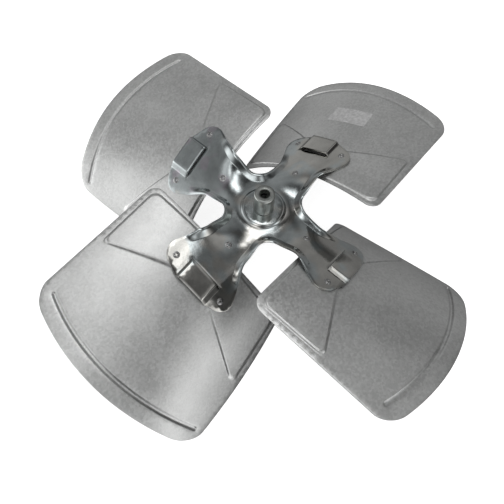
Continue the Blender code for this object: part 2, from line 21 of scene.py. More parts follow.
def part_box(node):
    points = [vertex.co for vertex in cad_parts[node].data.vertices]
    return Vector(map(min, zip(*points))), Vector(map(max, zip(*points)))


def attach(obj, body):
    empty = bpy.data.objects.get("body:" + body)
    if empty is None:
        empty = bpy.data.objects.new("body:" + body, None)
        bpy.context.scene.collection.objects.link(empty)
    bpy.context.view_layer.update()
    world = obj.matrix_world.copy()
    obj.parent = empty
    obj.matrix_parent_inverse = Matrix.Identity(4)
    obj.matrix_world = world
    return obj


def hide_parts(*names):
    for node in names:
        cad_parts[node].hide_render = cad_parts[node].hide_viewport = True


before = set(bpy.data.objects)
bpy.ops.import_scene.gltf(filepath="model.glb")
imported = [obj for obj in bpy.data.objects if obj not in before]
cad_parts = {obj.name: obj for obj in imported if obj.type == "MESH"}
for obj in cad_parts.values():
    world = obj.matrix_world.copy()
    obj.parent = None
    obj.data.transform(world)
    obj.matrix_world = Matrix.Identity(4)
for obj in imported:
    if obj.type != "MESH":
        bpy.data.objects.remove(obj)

log = logging.getLogger("fan_blade")

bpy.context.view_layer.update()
WINGS = 4
WING_ANGLE = 2 * pi / WINGS
GAP = 0.0004
IMAGE_SIDE = 504
HUB_TOP_ABOVE_ROTOR = 0.04145
ROTOR_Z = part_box("hub")[1].z - HUB_TOP_ABOVE_ROTOR
SLOPE_STEP = 0.0005
FILL_CLEARANCE = 0.45
SHARP_ANGLE = 50.0
SHEET_SHADE_ANGLE = 40.0
TURNED_SHADE_ANGLE = 30.0
LEVEL_FACE = 0.9
NEAR = 1e-5

Point = tuple[float, float]
Triple = tuple[float, float, float]
Floats = tuple[float, ...]
Array = np.ndarray
UNTINTED = (1.0, 1.0, 1.0)
Real = float | Array
Form = Callable[[Real, Real], Real]
Material = bpy.types.Material
Piece = bpy.types.Object
Socket = bpy.types.NodeSocket
Feed = Socket | float | Floats | None


def mix(a: Real, b: Real, t: Real) -> Real:
    """Blend from a to b as t runs from 0 to 1, for numbers or arrays."""
    return a + (b - a) * t


def smooth(t: Real) -> Real:
    """Ease from 0 to 1 with level ends, for numbers or arrays."""
    t = np.clip(t, 0.0, 1.0)
    return t * t * (3.0 - 2.0 * t)


def ramp(value: Real, span: Point) -> Real:
    """Ease from 0 to 1 as a value crosses a span."""
    return smooth((value - span[0]) / (span[1] - span[0]))


def wing_turn(wing: int, size: int = 4) -> Matrix:
    """Give the turn about the shaft from the first wing to another, in space or, with size 2, in plan."""
    return Matrix.Rotation(wing * WING_ANGLE, size, "Z")


def turned(points: Sequence[Point], wing: int) -> list[Point]:
    """Turn plan points from the first wing to another."""
    turn = wing_turn(wing, 2)
    return [tuple(turn @ Vector(p)) for p in points]


def facing(direction: Vector) -> Matrix:
    """Give the turn that points +Z along a direction."""
    return direction.to_track_quat("Z", "X").to_matrix().to_4x4()


def circle(radius: float, sides: int) -> list[Point]:
    """Give the plan points of a circle round the shaft."""
    angles = [2 * pi * i / sides for i in range(sides)]
    return [(radius * cos(a), radius * sin(a)) for a in angles]


def traced(corners: Sequence[Triple], closed: bool, arc_step: float, step: float) -> list[Point]:
    """Trace a polyline with rounded corners.

    Args:
        corners: The corners as (x, y, radius).
        closed: Whether the last corner joins the first.
        arc_step: The most that an arc turns between two points, in radians.
        step: The longest stretch between two points.

    Returns:
        The points of the line.
    """
    points: list[Point] = []
    count = len(corners)
    for i, (x, y, radius) in enumerate(corners):
        if radius == 0.0 or (not closed and i in (0, count - 1)):
            points.append((x, y))
            continue
        here = Vector((x, y))
        before = (Vector(corners[i - 1][:2]) - here).normalized()
        after = (Vector(corners[(i + 1) % count][:2]) - here).normalized()
        half = before.angle(after) / 2
        middle = here + (before + after).normalized() * (radius / sin(half))
        start = here + before * (radius / tan(half)) - middle
        turn = (pi - 2 * half) * (1.0 if before.cross(after) < 0.0 else -1.0)
        steps = max(2, ceil(abs(turn) / arc_step))
        points += [tuple(middle + Matrix.Rotation(turn * k / steps, 2) @ start) for k in range(steps + 1)]
    out: list[Point] = []
    for (ax, ay), (bx, by) in zip(points, points[1:] + points[:closed]):
        count = max(1, ceil(hypot(bx - ax, by - ay) / step))
        out += [(mix(ax, bx, i / count), mix(ay, by, i / count)) for i in range(count)]
    return out if closed else out + points[-1:]


def inside(points: Array, loop: Sequence[Point]) -> Array:
    """Say which plan points lie inside a closed loop.

    Args:
        points: The plan points, one a row.
        loop: The corners of the loop.

    Returns:
        True for each point inside.
    """
    a = np.array(loop)
    hit = np.zeros(len(points), bool)
    for (ax, ay), (bx, by) in zip(a, np.roll(a, -1, axis=0)):
        if ay == by:
            continue
        crosses = (ay > points[:, 1]) != (by > points[:, 1])
        hit ^= crosses & (points[:, 0] < (bx - ax) * (points[:, 1] - ay) / (by - ay) + ax)
    return hit


def clear_of(points: Array, starts: Array, ends: Array, clearance: float) -> Array:
    """Say which plan points keep a clearance from a set of line segments.

    Args:
        points: The plan points, one a row.
        starts: The segments' first ends.
        ends: The segments' last ends.
        clearance: The distance to keep.

    Returns:
        True for each point that keeps clear.
    """
    keep = np.ones(len(points), bool)
    for a, b in zip(starts, ends):
        along = b - a
        t = np.clip((points - a) @ along / max(along @ along, 1e-12), 0.0, 1.0)
        keep &= np.hypot(*(points - a - t[:, None] * along).T) > clearance
    return keep


# Forms of the pressed sheets

@dataclass(frozen=True)
class WingForm:
    """Heights of the formed sheets in a wing's own frame."""

    fan_radius: float = 0.2794
    root_x: float = 0.0760
    mid_x: float = 0.1680
    pitch_root: float = 0.558
    pitch_tip: float = 0.339
    camber_span: float = 0.100
    camber_root: float = 0.0306
    camber_tip: float = 0.0169
    camber_reflex: float = 0.0055
    droop: float = 0.024
    blade_sheet: float = 0.0012
    spider_sheet: float = 0.0026
    centre_z: float = 0.0040
    twist_x: Point = (0.030, 0.084)
    twist_skew: float = 0.25
    twist_skew_fade: Point = (0.045, 0.075)
    twist_spread: Point = (0.40, 1.00)
    twist_spread_fade: Point = (0.045, 0.068)
    panel_rise: float = 0.0025

    @property
    def stack(self) -> float:
        """Distance between the middles of the two sheets where they lie together."""
        return self.spider_sheet / 2 + GAP + self.blade_sheet / 2

    def blade(self, x: Real, y: Real) -> Real:
        """Height of the pitched and cambered blade, without its pressed features.

        Args:
            x: Distance out along the wing.
            y: Distance across the wing.

        Returns:
            The height of the sheet's middle.
        """
        t = (x - self.root_x) / (self.fan_radius - self.root_x)
        across = y / self.camber_span
        pitch = mix(self.pitch_root, self.pitch_tip, t)
        camber = mix(self.camber_root, self.camber_tip, t)
        return -pitch * y - camber * across ** 2 - self.camber_reflex * across ** 3 - self.droop * (x - self.mid_x)

    def slopes(self, form: Form, x: Real, y: Real) -> tuple[Real, Real]:
        """Slopes of a form along x and y.

        Args:
            form: The form.
            x: Distance out along the wing.
            y: Distance across the wing.

        Returns:
            The slope along x and the slope along y.
        """
        slope_x = (form(x + SLOPE_STEP, y) - form(x - SLOPE_STEP, y)) / (2 * SLOPE_STEP)
        slope_y = (form(x, y + SLOPE_STEP) - form(x, y - SLOPE_STEP)) / (2 * SLOPE_STEP)
        return slope_x, slope_y

    def lean(self, form: Form, x: Real, y: Real) -> Real:
        """Vertical thickness of a unit of sheet on a sloping form."""
        slope_x, slope_y = self.slopes(form, x, y)
        return np.sqrt(1.0 + slope_x ** 2 + slope_y ** 2)

    def twist(self, x: Real, y: Real) -> Real:
        """How far an arm has turned to the pitch: sooner on its low side, not at all between two arms.

        Args:
            x: Distance out along the wing.
            y: Distance across the wing.

        Returns:
            The share, from 0 at the centre to 1 at the pad.
        """
        ahead = self.twist_skew * y * (1.0 - ramp(x, self.twist_skew_fade))
        beside = 1.0 - ramp(np.abs(y) / np.maximum(x, GAP), self.twist_spread)
        return ramp(x + ahead, self.twist_x) * mix(beside, 1.0, ramp(x, self.twist_spread_fade))

    def arm(self, x: Real, y: Real) -> Real:
        """Height of the spider's sheet: level at the centre, twisted to the blade's pitch at the pad."""
        seated = self.blade(x, y) + self.panel_rise + self.stack * self.lean(self.blade, x, y)
        return mix(self.centre_z, seated, self.twist(x, y))

    def panel(self, x: Real, y: Real) -> Real:
        """Height of the blade's raised panel, against the underside of the arm."""
        return self.arm(x, y) - self.stack * self.lean(self.arm, x, y)

    def place(self, form: Form, x: float, y: float) -> Matrix:
        """Placement with its origin on a form and +Z along the form's normal.

        Args:
            form: The form.
            x: Distance out along the wing.
            y: Distance across the wing.

        Returns:
            The placement.
        """
        slope_x, slope_y = self.slopes(form, x, y)
        normal = Vector((-slope_x, -slope_y, 1.0)).normalized()
        return Matrix.Translation((x, y, float(form(x, y)))) @ facing(normal)


FORM = WingForm()


class SheetPattern:
    """A flat pattern of feature lines and filling points, pressed into a formed sheet.

    A pressed sheet's walls, grooves and lips run in curves that no primitive's edges follow, so the pattern is
    laid out in plan, cut into triangles along those lines, and raised to its form.
    """

    def __init__(self) -> None:
        """Start with an empty pattern."""
        self.points: list[Point] = []
        self.values: list[Floats] = []
        self.edges: list[tuple[int, int]] = []
        self.holes: list[list[Point]] = []

    def line(self, points: Sequence[Point], values: list[Floats] | Floats, closed: bool = False) -> None:
        """Add a polyline whose points carry press values, one for all or one for each.

        Args:
            points: The plan points of the line.
            values: One press value for all points, or a list with one for each.
            closed: Whether the last point joins the first.
        """
        first = len(self.points)
        self.points += list(points)
        self.values += values if isinstance(values, list) else [values] * len(points)
        last = len(self.points) - 1
        self.edges += [(i, i + 1) for i in range(first, last)]
        if closed:
            self.edges.append((last, first))

    def hole(self, loop: Sequence[Point], values: list[Floats] | Floats) -> None:
        """Add a closed loop that is cut out of the sheet."""
        self.line(loop, values, True)
        self.holes.append(list(loop))

    def outside_holes(self, points: Array) -> Array:
        """Say which plan points lie in none of the holes.

        Args:
            points: The plan points, one a row.

        Returns:
            True for each point on the sheet.
        """
        keep = np.ones(len(points), bool)
        for loop in self.holes:
            keep &= ~inside(points, loop)
        return keep

    def fill(self, outline: Sequence[Point], spacing: float, value_at: Callable[[Array], Array],
             wings: int = 1) -> None:
        """Fill the outline with staggered points that keep clear of the lines, alike in each wing.

        Args:
            outline: The loop to stay within.
            spacing: The distance between neighbouring points.
            value_at: Gives the press values, a row for each plan point.
            wings: How many wings the pattern covers.
        """
        rows = int(FORM.fan_radius / spacing)
        spots = np.array([((i + 0.5) * spacing, (j + 0.5 * (i % 2)) * spacing)
                          for i in range(rows) for j in range(-rows, rows)])
        if wings > 1:
            spots = spots[np.abs(spots[:, 1]) < spots[:, 0]]
        placed = np.array(self.points)
        starts, ends = (placed[[edge[k] for edge in self.edges]] for k in (0, 1))
        spots = spots[inside(spots, outline) & self.outside_holes(spots)]
        spots = spots[clear_of(spots, starts, ends, spacing * FILL_CLEARANCE)]
        for wing in range(wings):
            here = spots @ np.array(wing_turn(wing, 2)).T
            self.points += [tuple(p) for p in here]
            self.values += [tuple(v) for v in value_at(here)]

    def press(self, name: str, height: Callable[[Array, Array, Array], Array],
              thickness: float, edge: float) -> Piece:
        """Cut the pattern into triangles, raise it to its form and give it its thickness.

        Args:
            name: The piece's name.
            height: Gives the height for x, y and the press values.
            thickness: The sheet's thickness.
            edge: The width of the softened cut edge.

        Returns:
            The finished sheet.
        """
        flat = [Vector(p) for p in self.points]
        spots, _, faces, sources, _, _ = delaunay_2d_cdt(flat, self.edges, [], 1, 1e-7)
        plan = np.array([tuple(s) for s in spots])
        values = np.array([self.values[source[0]] for source in sources])
        keep = self.outside_holes(np.array([plan[list(face)].mean(0) for face in faces]))
        kept = [face for face, wanted in zip(faces, keep) if wanted]
        z = height(plan[:, 0], plan[:, 1], values) + ROTOR_Z
        mesh = bpy.data.meshes.new(name)
        mesh.from_pydata(np.column_stack((plan, z)).tolist(), [], kept)
        piece = bpy.data.objects.new(name, mesh)
        bpy.context.scene.collection.objects.link(piece)
        take(piece)
        bpy.ops.object.mode_set(mode="EDIT")
        bpy.ops.mesh.select_all(action="SELECT")
        bpy.ops.mesh.delete_loose(use_verts=True, use_edges=True, use_faces=False)
        bpy.ops.object.mode_set(mode="OBJECT")
        modify(piece, "SOLIDIFY", thickness=thickness, offset=0.0)
        soften(piece, edge)
        shade(piece, SHEET_SHADE_ANGLE)
        return piece


# Workbench helpers

def clear_bench() -> None:
    """Leave edit mode, and select nothing."""
    if bpy.context.object and bpy.context.object.mode != "OBJECT":
        bpy.ops.object.mode_set(mode="OBJECT")
    bpy.ops.object.select_all(action="DESELECT")


def take(piece: Piece) -> None:
    """Select one piece alone, in object mode, and make it active.

    Args:
        piece: The piece.
    """
    clear_bench()
    piece.select_set(True)
    bpy.context.view_layer.objects.active = piece


def modify(piece: Piece, kind: str, **settings: object) -> None:
    """Apply one modifier to a piece.

    Args:
        piece: The piece.
        kind: The modifier's type.
        settings: The modifier's own settings.
    """
    take(piece)
    modifier = piece.modifiers.new(kind, kind)
    for key, value in settings.items():
        setattr(modifier, key, value)
    bpy.ops.object.modifier_apply(modifier=modifier.name)


def soften(piece: Piece, width: float, angle: float = SHARP_ANGLE) -> None:
    """Round the edges of a piece that are sharper than an angle in degrees by a small bevel."""
    modify(piece, "BEVEL", width=width, segments=2, limit_method="ANGLE", angle_limit=radians(angle))


def shade(piece: Piece, angle: float = TURNED_SHADE_ANGLE) -> None:
    """Shade a piece smooth across edges below an angle in degrees."""
    take(piece)
    bpy.ops.object.shade_smooth_by_angle(angle=radians(angle))


def cylinder(name: str, sides: int, radius: float, low: float, high: float) -> Piece:
    """Add a cylinder on the Z axis between two heights, with its object at the origin.

    Args:
        name: The piece's name.
        sides: The number of sides.
        radius: The radius.
        low: The height of its lower face.
        high: The height of its upper face.

    Returns:
        The cylinder.
    """
    clear_bench()
    bpy.ops.mesh.primitive_cylinder_add(vertices=sides, radius=radius, depth=high - low,
                                        location=(0.0, 0.0, (high + low) / 2))
    piece = bpy.context.object
    piece.name = piece.data.name = name
    bpy.ops.object.transform_apply(location=True, rotation=False, scale=False)
    return piece


def carve(piece: Piece, cutter: Piece) -> None:
    """Cut one piece out of another, and remove the cutter."""
    modify(piece, "BOOLEAN", operation="DIFFERENCE", solver="EXACT", object=cutter)
    bpy.data.objects.remove(cutter)


def copy_of(piece: Piece, name: str, placement: Matrix) -> Piece:
    """Copy a piece with a mesh of its own.

    Args:
        piece: The piece to copy.
        name: The copy's name.
        placement: Where the copy goes.

    Returns:
        The copy.
    """
    twin = piece.copy()
    twin.data = piece.data.copy()
    twin.name = twin.data.name = name
    bpy.context.scene.collection.objects.link(twin)
    twin.data.transform(placement)
    return twin


def dress(piece: Piece, material: Material, node: str | None = None) -> None:
    """Give a piece its material and its body, and hide the node it replaces.

    Args:
        piece: The piece.
        material: Its finish.
        node: The solid that it replaces, or None for a piece of its own.
    """
    piece.data.materials.clear()
    piece.data.materials.append(material)
    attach(piece, "root")
    if node:
        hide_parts(node)
    log.info("%s: %d faces", piece.name, len(piece.data.polygons))


class Pick(Enum):
    """Which elements of a mesh are picked."""

    FACE = "faces"
    EDGE = "edges"


class Rim(Enum):
    """Which end of a turned piece is meant."""

    TOP = 1
    BOTTOM = -1


def pick(piece: Piece, kind: Pick, wanted: Callable[..., bool]) -> None:
    """Select the faces or edges of the piece in edit mode that meet a test, and no others.

    Args:
        piece: The piece, in edit mode.
        kind: Whether faces or edges are meant.
        wanted: Says whether a face or an edge is picked.
    """
    bpy.ops.mesh.select_mode(type=kind.name)
    work = bmesh.from_edit_mesh(piece.data)
    elements = getattr(work, kind.value)
    for element in elements:
        element.select_set(False)
    for element in elements:
        if wanted(element):
            element.select_set(True)
    work.select_flush_mode()
    bmesh.update_edit_mesh(piece.data)


# Finishes

def grey(level: float, tint: Triple = UNTINTED) -> tuple[float, float, float, float]:
    """Give a tinted grey."""
    return (level * tint[0], level * tint[1], level * tint[2], 1.0)


class NodeBench:
    """Wires the nodes of one tree, with coordinates to start from."""

    def __init__(self, tree: bpy.types.NodeTree, coordinates: str) -> None:
        """Start on a tree with one kind of texture coordinates."""
        self.tree = tree
        self.spot = self.add("ShaderNodeTexCoord").outputs[coordinates]

    def add(self, kind: str, inputs: dict[str | int, Feed] | None = None, **settings: object) -> bpy.types.Node:
        """Add a node.

        Args:
            kind: The node's type.
            inputs: What feeds each input, by its name or place.
            settings: The node's own settings, as attributes.

        Returns:
            The node.
        """
        node = self.tree.nodes.new(kind)
        for key, value in settings.items():
            setattr(node, key, value)
        for key, value in (inputs or {}).items():
            self.feed(node.inputs[key], value)
        return node

    def feed(self, socket: Socket, value: Feed) -> None:
        """Feed a socket.

        Args:
            socket: The socket to feed.
            value: Another socket, a value, or None to leave it alone.
        """
        if isinstance(value, Socket):
            self.tree.links.new(value, socket)
        elif value is not None:
            socket.default_value = value

    def noise(self, scale: float, detail: float, roughness: float, where: Socket | None = None) -> Socket:
        """Give a noise of a scale in cells a metre."""
        return self.add("ShaderNodeTexNoise", {"Vector": where or self.spot, "Scale": scale, "Detail": detail,
                                               "Roughness": roughness}).outputs["Fac"]

    def along(self, slope: Triple) -> Socket:
        """Give a value that rises steadily with the coordinates, by a slope along each axis."""
        return self.add("ShaderNodeVectorMath", {0: self.spot, 1: slope}, operation="DOT_PRODUCT").outputs["Value"]

    def span(self, value: Feed, source: Point, target: Point = (0.0, 1.0)) -> Socket:
        """Map a value from one range to another, held within it."""
        return self.add("ShaderNodeMapRange", {"Value": value, "From Min": source[0], "From Max": source[1],
                                               "To Min": target[0], "To Max": target[1]}).outputs["Result"]

    def maths(self, operation: str, *values: Feed) -> Socket:
        """Combine values by a math operation."""
        return self.add("ShaderNodeMath", dict(enumerate(values)), operation=operation).outputs["Value"]

    def weighed(self, a: Feed, b: Feed, share: float) -> Socket:
        """Add a share of one value to another."""
        return self.maths("ADD", a, self.maths("MULTIPLY", b, share))

    def blend(self, share: Feed, a: Feed, b: Feed) -> Socket:
        """Blend two colours by a share."""
        return self.add("ShaderNodeMix", {0: share, 6: a, 7: b}, data_type="RGBA").outputs[2]

    def two_tone(self, share: Socket, levels: Point, tint: Triple = UNTINTED) -> Socket:
        """Blend from a dark to a light grey of one tint by a share."""
        return self.blend(share, grey(levels[0], tint), grey(levels[1], tint))

    def bump(self, height: Feed, strength: float, distance: float, under: Socket | None = None) -> Socket:
        """Give a bumped normal."""
        return self.add("ShaderNodeBump", {"Strength": strength, "Distance": distance, "Height": height,
                                           "Normal": under}).outputs["Normal"]


class MaterialBench(NodeBench):
    """Wires the nodes of one material, in object coordinates."""

    def __init__(self, name: str) -> None:
        """Start a material that has a Principled shader.

        Args:
            name: The material's name.
        """
        self.material = bpy.data.materials.new(name)
        self.material.use_nodes = True
        super().__init__(self.material.node_tree, "Object")

    def finish(self, **sockets: Feed) -> Material:
        """Feed the shader's sockets.

        Args:
            sockets: What feeds each of the shader's sockets, named with _ for a space.

        Returns:
            The material.
        """
        shader = self.tree.nodes["Principled BSDF"]
        for key, value in sockets.items():
            self.feed(shader.inputs[key.replace("_", " ")], value)
        return self.material


@dataclass(frozen=True)
class GalvanisedFinish:
    """Hot-dipped sheet: fine zinc crystals, a soft sheen and a dusty bloom."""

    levels: Point = (0.43, 0.58)
    tint: Triple = (0.99, 1.0, 0.99)
    crystals: float = 420.0
    wander: Triple = (90.0, 2.0, 0.5)
    speck: Triple = (900.0, 2.0, 0.6)
    cloud: Triple = (14.0, 3.0, 0.55)
    crystal_share: float = 0.45
    speck_share: float = 0.55
    wander_share: float = 0.6
    roughness: Point = (0.27, 0.38)
    speck_dents: Point = (0.25, 0.0004)
    cloud_dents: Point = (0.12, 0.004)
    metallic: float = 0.9

    def make(self, name: str) -> Material:
        """Make the material.

        Args:
            name: The material's name.

        Returns:
            The material.
        """
        bench = MaterialBench(name)
        cells = bench.add("ShaderNodeTexVoronoi", {"Vector": bench.spot, "Scale": self.crystals})
        crystal = bench.add("ShaderNodeSeparateColor", {"Color": cells.outputs["Color"]}).outputs["Red"]
        speck = bench.noise(*self.speck)
        cloud = bench.noise(*self.cloud)
        share = bench.weighed(bench.maths("MULTIPLY", crystal, self.crystal_share), speck, self.speck_share)
        share = bench.maths("ADD", share, bench.maths("ADD", cloud, -0.5))
        colour = bench.two_tone(bench.span(share, (0.2, 0.8)), self.levels, self.tint)
        rough = bench.weighed(crystal, bench.noise(*self.wander), self.wander_share)
        rough = bench.span(rough, (0.1, 1.2), self.roughness)
        normal = bench.bump(cloud, *self.cloud_dents, bench.bump(speck, *self.speck_dents))
        return bench.finish(Base_Color=colour, Metallic=self.metallic, Roughness=rough, Normal=normal)


@dataclass(frozen=True)
class ZincPlateFinish:
    """Bright zinc plate on a deep stamping: glossy and clouded, with faint teal, olive and violet films."""

    levels: Point = (0.29, 0.42)
    tints: tuple[Triple, ...] = ((0.925, 1.0, 1.01), (1.0, 0.99, 0.94), (0.98, 0.95, 1.02))
    olive_span: Point = (0.54, 0.66)
    violet_span: Point = (0.30, 0.22)
    drift: Triple = (0.0, -1.2, 0.0)
    spread: Triple = (3.8, 0.0, 0.0)
    film: Triple = (38.0, 1.0, 0.5)
    cloud: Triple = (30.0, 4.0, 0.6)
    speck: Triple = (700.0, 2.0, 0.5)
    wave: Triple = (60.0, 3.0, 0.5)
    speck_share: float = 0.5
    roughness: Point = (0.09, 0.17)
    speck_dents: Point = (0.08, 0.0003)
    wave_dents: Point = (0.10, 0.002)

    def make(self, name: str) -> Material:
        """Make the material.

        Args:
            name: The material's name.

        Returns:
            The material.
        """
        bench = MaterialBench(name)
        cloud = bench.noise(*self.cloud)
        speck = bench.noise(*self.speck)
        spread = bench.along(self.spread)
        film = bench.maths("ADD", bench.noise(*self.film), bench.along(self.drift))
        film = bench.maths("ADD", film, bench.maths("MULTIPLY", spread, spread))
        share = bench.span(cloud, (0.3, 0.7))
        teal, olive, violet = (bench.two_tone(share, self.levels, tint) for tint in self.tints)
        colour = bench.blend(bench.span(film, self.olive_span), teal, olive)
        colour = bench.blend(bench.span(film, self.violet_span), colour, violet)
        rough = bench.span(bench.weighed(cloud, speck, self.speck_share), (0.4, 1.1), self.roughness)
        normal = bench.bump(bench.noise(*self.wave), *self.wave_dents, bench.bump(speck, *self.speck_dents))
        return bench.finish(Base_Color=colour, Metallic=1.0, Roughness=rough, Normal=normal)


@dataclass(frozen=True)
class TurnedFinish:
    """Lathe-turned steel: fine rings round the shaft under a thin plate, with painted shade: a flat dark grey on the
    top end face.
    """

    levels: Point = (0.46, 0.62)
    painted_end_shade: float = 0.24
    painted_shade_depth: float = 0.0008
    tint: Triple = (0.96, 1.0, 0.96)
    rings: Triple = (60.0, 2.0, 0.5)
    ring_stretch: Triple = (0.4, 0.4, 90.0)
    cloud: Triple = (120.0, 2.0, 0.5)
    roughness: Point = (0.28, 0.42)
    ring_dents: Point = (0.15, 0.0002)

    def make(self, name: str) -> Material:
        """Make the material.

        Args:
            name: The material's name.

        Returns:
            The material.
        """
        bench = MaterialBench(name)
        rings = bench.noise(*self.rings, bench.add(
            "ShaderNodeMapping", {"Vector": bench.spot, "Scale": self.ring_stretch}).outputs["Vector"])
        share = bench.span(bench.noise(*self.cloud), (0.3, 0.7))
        # Painted shade: the top end face is blended to a flat dark grey, standing in for the dark reflection it
        # shows.
        top = ROTOR_Z + HUB_TOP_ABOVE_ROTOR
        painted_shade_share = bench.span(bench.along((0.0, 0.0, 1.0)), (top - self.painted_shade_depth, top - self.painted_shade_depth / 4))
        colour = bench.blend(painted_shade_share, bench.two_tone(share, self.levels, self.tint), grey(self.painted_end_shade, self.tint))
        rough = bench.span(rings, (0.2, 0.8), self.roughness)
        return bench.finish(Base_Color=colour, Metallic=1.0, Roughness=rough,
                            Normal=bench.bump(rings, *self.ring_dents))


@dataclass(frozen=True)
class WornFinish:
    """A surface whose one noise colours, roughens and dents it."""

    levels: Point
    wear: Triple
    share: Point
    roughness: Point
    dents: Point
    metallic: float

    def make(self, name: str) -> Material:
        """Make the material.

        Args:
            name: The material's name.

        Returns:
            The material.
        """
        bench = MaterialBench(name)
        wear = bench.noise(*self.wear)
        return bench.finish(Base_Color=bench.two_tone(bench.span(wear, self.share), self.levels),
                            Metallic=self.metallic, Roughness=bench.span(wear, (0.3, 0.7), self.roughness),
                            Normal=bench.bump(wear, *self.dents))


RIVET_STEEL = WornFinish((0.24, 0.38), (500.0, 2.0, 0.6), (0.3, 0.7), (0.22, 0.36), (0.3, 0.0004), 1.0)
BLACK_OXIDE = WornFinish((0.035, 0.09), (600.0, 3.0, 0.6), (0.4, 0.8), (0.30, 0.50), (0.15, 0.0002), 0.9)
LABEL_FILM = WornFinish((0.46, 0.66), (260.0, 3.0, 0.6), (0.35, 0.7), (0.35, 0.5), (0.1, 0.0003), 0.35)


# Sub-assemblies

@dataclass
class Blades:
    """The four pitched blades, with a groove inside the tip and a raised root panel each.

    Pairs of edge sizes are for the high and the low edge.
    """

    edge_y: Point = (-0.1130, 0.1050)
    edge_splay: Point = (-0.024, 0.104)
    edge_bow: Point = (0.0, 0.45)
    root_bow: Point = (0.25, 0.85)
    tip_corner: float = 0.021
    root_corner: float = 0.016
    tongue_length: float = 0.0200
    tongue_half_width: float = 0.0170
    tongue_fillet: float = 0.004
    groove_radius: float = 0.2602
    groove_width: float = 0.0070
    groove_depth: float = 0.0018
    groove_span: Point = (-0.1015, 0.1040)
    groove_end_steps: int = 6
    panel_wall: float = 0.0030
    panel_tip_lean: float = 1.6
    panel_root_x: float = 0.0810
    panel_high_y: float = -0.1032
    panel_high_x: float = 0.1655
    panel_low_y: Point = (0.0885, 0.1005)
    panel_low_x: float = 0.1750
    panel_point: Point = (0.1190, 0.0020)
    panel_point_wall: float = 0.0048
    panel_corner: float = 0.010
    panel_mouth: float = 0.0235
    step: float = 0.0035
    spacing: float = 0.0042
    edge: float = 0.00022
    arc_step: float = radians(8.0)
    wall_rows: Floats = (-1.5, -1.0, -0.6, -0.2, 0.2, 0.6, 1.0, 1.5)
    groove_profile: tuple[Point, ...] = ((0.30, 0.95), (0.50, 0.74), (0.78, 0.22), (0.92, 0.05), (1.02, 0.0))

    def plan(self, s: float, c: float) -> Point:
        """Give the plan point of a point of the flat blank.

        Args:
            s: Distance out from the root edge.
            c: Place across, from -1 at the high edge to 1 at the low edge.

        Returns:
            The plan point.
        """
        out = FORM.root_x + s - FORM.mid_x
        high, low = (y + splay * out - bow * out ** 2
                     for y, splay, bow in zip(self.edge_y, self.edge_splay, self.edge_bow))
        y = mix(high, low, (c + 1.0) / 2.0)
        root = FORM.root_x - self.root_bow[y > 0.0] * y ** 2
        return mix(root, sqrt(FORM.fan_radius ** 2 - y ** 2), s / (FORM.fan_radius - FORM.root_x)), y

    def outline(self) -> list[Point]:
        """The blade's outline: four rounded corners, and the tongue under the arm.

        Returns:
            The plan points of the outline.
        """
        half = (self.edge_y[1] - self.edge_y[0]) / 2
        middle = (self.edge_y[1] + self.edge_y[0]) / 2
        span = FORM.fan_radius - FORM.root_x
        left, right = -self.tongue_half_width - middle, self.tongue_half_width - middle
        corners = [
            (0.0, -half, self.root_corner),
            (span, -half, self.tip_corner),
            (span, half, self.tip_corner),
            (0.0, half, self.root_corner),
            (0.0, right, self.tongue_fillet),
            (-self.tongue_length, right, 2 * self.tongue_fillet),
            (-self.tongue_length, left, 2 * self.tongue_fillet),
            (0.0, left, self.tongue_fillet),
        ]
        blank = traced(corners, True, self.arc_step, self.step)
        return [self.plan(s, w / half) for s, w in blank]

    def panel_line(self, row: float) -> list[Point]:
        """One row of the raised panel's wall.

        Args:
            row: Which row, from -1 at its foot to 1 at its top.

        Returns:
            The plan points of the row.
        """
        wall = row * self.panel_wall / 2
        tip_wall = self.panel_tip_lean * wall
        root = self.panel_root_x + wall
        mouth = self.panel_mouth - wall
        point_x, point_y = self.panel_point
        low_root, low_tip = self.panel_low_y
        corner = self.panel_corner
        corners = [
            (FORM.root_x, -mouth, 0.0),
            (root, -mouth, corner / 4),
            (root, self.panel_high_y + wall, corner),
            (self.panel_high_x - tip_wall, self.panel_high_y + wall, corner / 2),
            (point_x - row * self.panel_point_wall / 2, point_y, 2 * corner),
            (self.panel_low_x - tip_wall, low_tip - wall, corner / 2),
            (root, low_root - wall, corner),
            (root, mouth, corner / 4),
            (FORM.root_x, mouth, 0.0),
        ]
        return traced(corners, False, self.arc_step, self.step)

    def groove_loop(self, reach: float) -> list[Point]:
        """A loop at one distance round the groove's bed line, with round ends.

        Args:
            reach: The distance from the bed line.

        Returns:
            The plan points of the loop.
        """
        radius = self.groove_radius
        start, end = (asin(y / radius) for y in self.groove_span)
        start, end = start + self.groove_width / 2 / radius, end - self.groove_width / 2 / radius
        count = ceil(radius * (end - start) / self.step)
        angles = [mix(start, end, i / count) for i in range(count + 1)]

        def arc(across: float) -> list[Point]:
            """Points beside the bed line, at one distance from the shaft."""
            return [(across * cos(a), across * sin(a)) for a in angles]

        def cap(centre: Point, first: float) -> list[Point]:
            """Points round one end of the bed line."""
            turns = [Matrix.Rotation(first + pi * k / self.groove_end_steps, 2)
                     for k in range(1, self.groove_end_steps)]
            return [tuple(Vector(centre) + turn @ Vector((reach, 0.0))) for turn in turns]

        bed = arc(radius)
        return arc(radius + reach) + cap(bed[-1], end) + arc(radius - reach)[::-1] + cap(bed[0], start + pi)

    def height(self, x: Array, y: Array, values: Array) -> Array:
        """Height of blade points from their form, the panel's share and the groove's depth."""
        form = mix(FORM.blade(x, y), FORM.panel(x, y), values[:, 0])
        return form + values[:, 1] * FORM.lean(FORM.blade, x, y)

